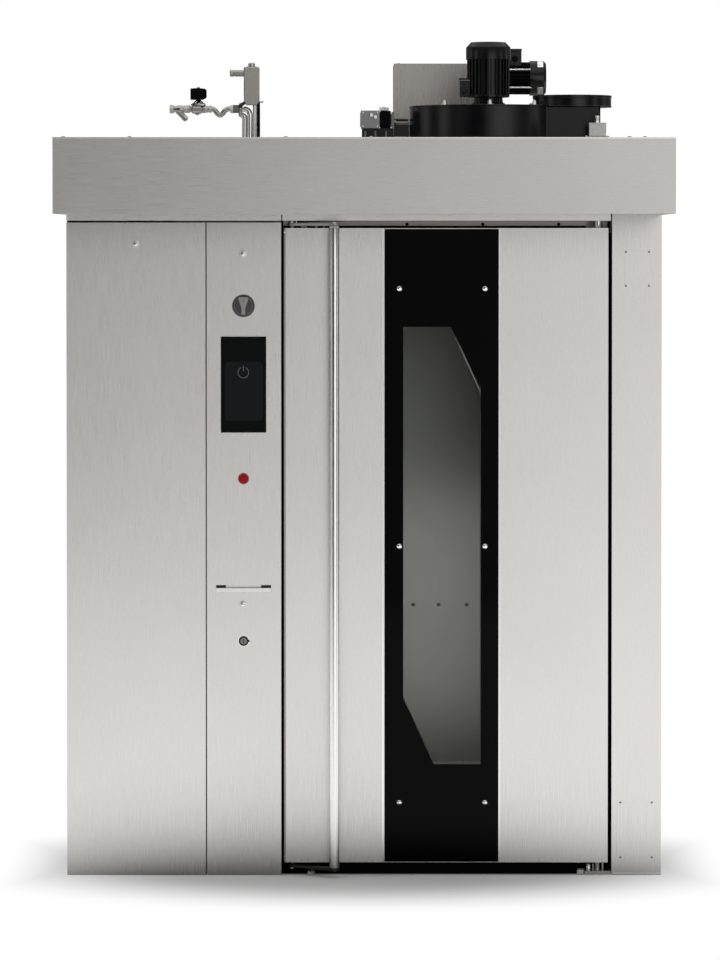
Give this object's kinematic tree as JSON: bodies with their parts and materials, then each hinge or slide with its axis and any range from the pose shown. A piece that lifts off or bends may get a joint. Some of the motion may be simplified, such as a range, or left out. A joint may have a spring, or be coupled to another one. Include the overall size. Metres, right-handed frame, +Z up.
{
  "type": "rotating rack oven",
  "caption": "Walk-in bakery oven with a hinged glazed door, control column, steam hood with extractor, and a roof drive that turns the rack carrier.",
  "frame": {"origin": "on the floor, under the middle of the cabinet's footprint (the hood reaches further to the front)", "axes": "+X to the right and +Y to the back for someone who stands before the door, +Z up"},
  "size_m": [1.83, 1.99, 2.571],
  "materials": {
    "brushed_steel": "satin",
    "inner_steel": "satin",
    "chrome": "polished",
    "dark_steel": "satin",
    "brass": "satin",
    "black_paint": "satin",
    "black_glass": "gloss",
    "clear_glass": "gloss",
    "grey_plastic": "satin",
    "light_plastic": "satin",
    "red_plastic": "gloss",
    "screen": "gloss",
    "rubber": "matte",
    "mineral_wool": "matte",
    "cast_iron": "matte"
  },
  "bodies": {
    "cabinet": {"base_tray": "inner_steel", "chamber_floor": "inner_steel", "left_side_panel": "brushed_steel", "right_side_panel": "brushed_steel", "rear_panel": "brushed_steel", "roof_panel": "brushed_steel", "service_panel": "brushed_steel", "right_pillar": "brushed_steel", "lintel_panel": "brushed_steel", "door_frame": "inner_steel", "air_wall": "inner_steel", "chamber_right_wall": "inner_steel", "chamber_rear_wall": "inner_steel", "chamber_ceiling": "inner_steel", "duct_wall": "inner_steel", "insulation_jacket": "mineral_wool", "circulation_motor": "black_paint", "heating_elements": "dark_steel", "steam_cascade": "cast_iron", "electrical_box": "light_plastic", "hood_front": "brushed_steel", "hood_left_cheek": "brushed_steel", "hood_right_cheek": "brushed_steel", "hood_roof": "brushed_steel", "extractor_scroll": "black_paint", "extractor_motor": "black_paint", "drive_housing": "brushed_steel", "roof_bearing": "dark_steel", "drive_chain": "dark_steel", "rack_gearmotor": "black_paint", "damper_actuator": "grey_plastic", "roof_junction_box": "brushed_steel", "water_strainer": "brass", "solenoid_valve": "brass", "solenoid_coil": "black_paint", "water_pipe": "brass", "vent_box": "brushed_steel", "bottom_hinge": "dark_steel", "top_hinge": "dark_steel"},
    "door": {"door_left_skin": "brushed_steel", "door_right_skin": "brushed_steel", "door_glass": "black_glass", "door_liner": "inner_steel", "inner_door_glass": "clear_glass", "door_core": "mineral_wool", "door_gasket": "rubber"},
    "handle": {"handle_bar": "brushed_steel", "handle_arm_top": "brushed_steel", "handle_arm_bottom": "brushed_steel"},
    "carrier": {"rack_shaft": "chrome", "rack_carrier": "inner_steel"},
    "chain_pinion": {"drive_sprocket": "chrome"},
    "extractor_rotor": {"extractor_impeller": "dark_steel"},
    "circulation_rotor": {"circulation_wheel": "dark_steel"},
    "control_door": {"control_panel": "brushed_steel", "touch_screen": "screen"},
    "main_switch": {"main_switch_knob": "grey_plastic"},
    "stop_plunger": {"stop_button": "red_plastic"},
    "panel_lock": {"cam_lock": "black_paint"},
    "damper_spindle": {"damper_knob": "light_plastic"}
  },
  "joints": [
    {"name": "door_swing", "type": "hinge", "parent": "cabinet", "child": "door", "pos_m": [0.72, -0.675, 0], "axis": [0, 0, 1], "range_deg": [0, 110]},
    {"name": "handle_turn", "type": "hinge", "parent": "door", "child": "handle", "pos_m": [-0.222, -0.67, 0], "axis": [0, 0, -1], "range_deg": [0, 60]},
    {"name": "rack_turn", "type": "hinge", "parent": "cabinet", "child": "carrier", "pos_m": [0.2525, -0.065, 0], "axis": [0, 0, 1], "continuous": true},
    {"name": "pinion_turn", "type": "hinge", "parent": "cabinet", "child": "chain_pinion", "pos_m": [0.3675, -0.065, 2.3], "axis": [0, 0, 1], "continuous": true},
    {"name": "extractor_spin", "type": "hinge", "parent": "cabinet", "child": "extractor_rotor", "pos_m": [0.3726, -0.995, 2.3], "axis": [0, 0, 1], "continuous": true},
    {"name": "circulation_spin", "type": "hinge", "parent": "cabinet", "child": "circulation_rotor", "pos_m": [-0.3785, -0.065, 1.69], "axis": [1, 0, 0], "continuous": true},
    {"name": "control_door_swing", "type": "hinge", "parent": "cabinet", "child": "control_door", "pos_m": [-0.4835, -0.7, 0], "axis": [0, 0, -1], "range_deg": [0, 100]},
    {"name": "main_switch_turn", "type": "hinge", "parent": "control_door", "child": "main_switch", "pos_m": [-0.3707, -0.7, 1.755], "axis": [0, 1, 0], "range_deg": [0, 90]},
    {"name": "stop_press", "type": "slide", "parent": "control_door", "child": "stop_plunger", "axis": [0, 1, 0], "range_m": [0, 0.005], "stiffness_N_per_m": 400, "springref_m": -0.002},
    {"name": "panel_lock_turn", "type": "hinge", "parent": "control_door", "child": "panel_lock", "pos_m": [-0.3707, -0.7, 0.723], "axis": [0, 1, 0], "range_deg": [0, 90]},
    {"name": "damper_turn", "type": "hinge", "parent": "cabinet", "child": "damper_spindle", "pos_m": [0.06, -0.995, 2.3], "axis": [0, 0, 1], "range_deg": [0, 90]}
  ],
  "couplings": [
    {"joint": "pinion_turn", "follows": "rack_turn", "ratio": 3}
  ]
}
